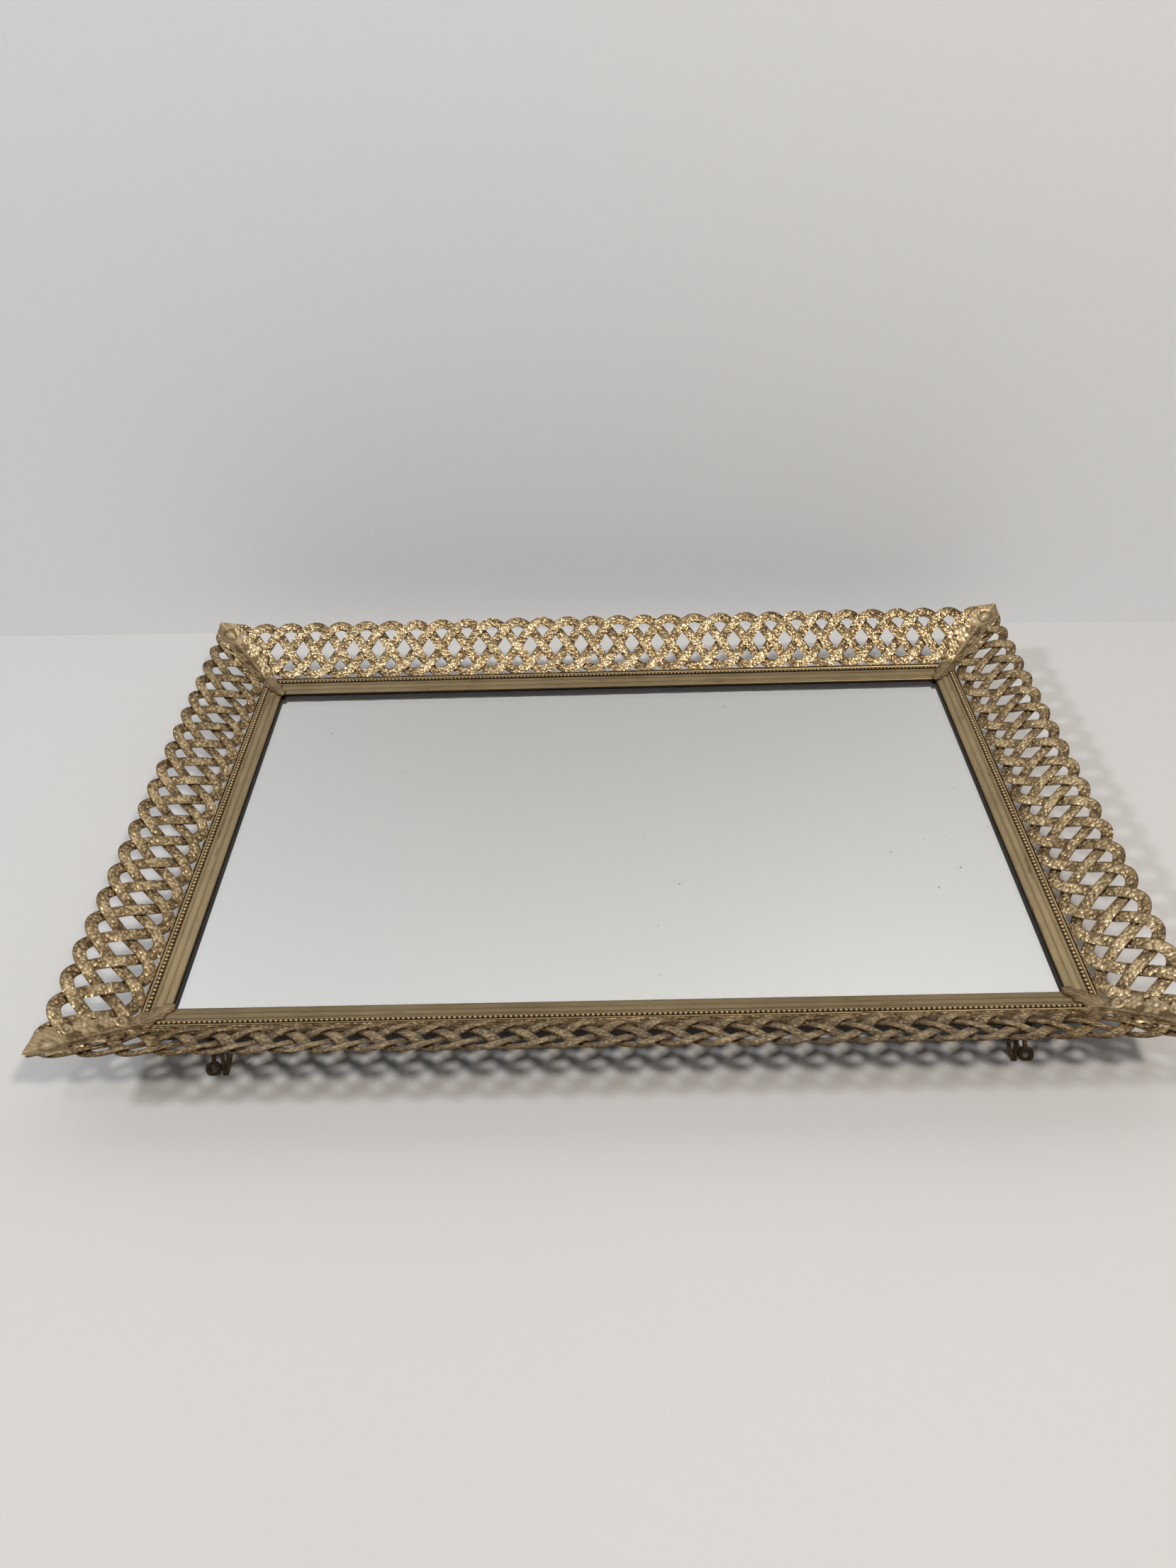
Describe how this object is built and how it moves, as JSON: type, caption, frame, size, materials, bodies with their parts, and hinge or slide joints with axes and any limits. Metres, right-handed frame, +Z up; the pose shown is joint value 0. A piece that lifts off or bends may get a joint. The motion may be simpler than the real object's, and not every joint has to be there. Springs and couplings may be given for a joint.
{
  "type": "mirror vanity tray",
  "caption": "Rectangular vanity tray with a mirror base, a ribbed moulding, a flared openwork rim of woven bands, leaf corners and small scroll feet.",
  "frame": {"origin": "on the table plane, below the middle of the mirror", "axes": "+X along the long side, +Y from front to back, +Z up"},
  "size_m": [0.3892, 0.2602, 0.0366],
  "materials": {
    "mirror_glass": "clear silvered glass, a little desilvered along its edges",
    "backing_board": "plain hardboard",
    "felt": "thin matted felt",
    "gilt_moulding": "gold-tone plate, lightly dulled, polished on the ribs",
    "gilt_gallery": "antique gold-tone plate, embossed, dark in the recesses",
    "gilt_ornament": "antique gold-tone plate, stamped relief, dark in the recesses",
    "gilt_foot": "gold-tone plate, tarnished",
    "steel_key": "plain mill finish",
    "brass_rivet": "plain, tarnished"
  },
  "bodies": {
    "root": {"mirror_glass": "mirror_glass", "backing_board": "backing_board", "felt_lining": "felt", "moulding_front": "gilt_moulding", "moulding_back": "gilt_moulding", "moulding_left": "gilt_moulding", "moulding_right": "gilt_moulding", "gallery_front": "gilt_gallery", "gallery_back": "gilt_gallery", "gallery_left": "gilt_gallery", "gallery_right": "gilt_gallery", "ornament_front_left": "gilt_ornament", "ornament_front_right": "gilt_ornament", "ornament_back_left": "gilt_ornament", "ornament_back_right": "gilt_ornament", "corner_key_front_left": "steel_key", "corner_key_front_right": "steel_key", "corner_key_back_left": "steel_key", "corner_key_back_right": "steel_key", "foot_front_left": "gilt_foot", "foot_front_right": "gilt_foot", "foot_back_left": "gilt_foot", "foot_back_right": "gilt_foot", "foot_rivets": "brass_rivet"}
  },
  "joints": []
}
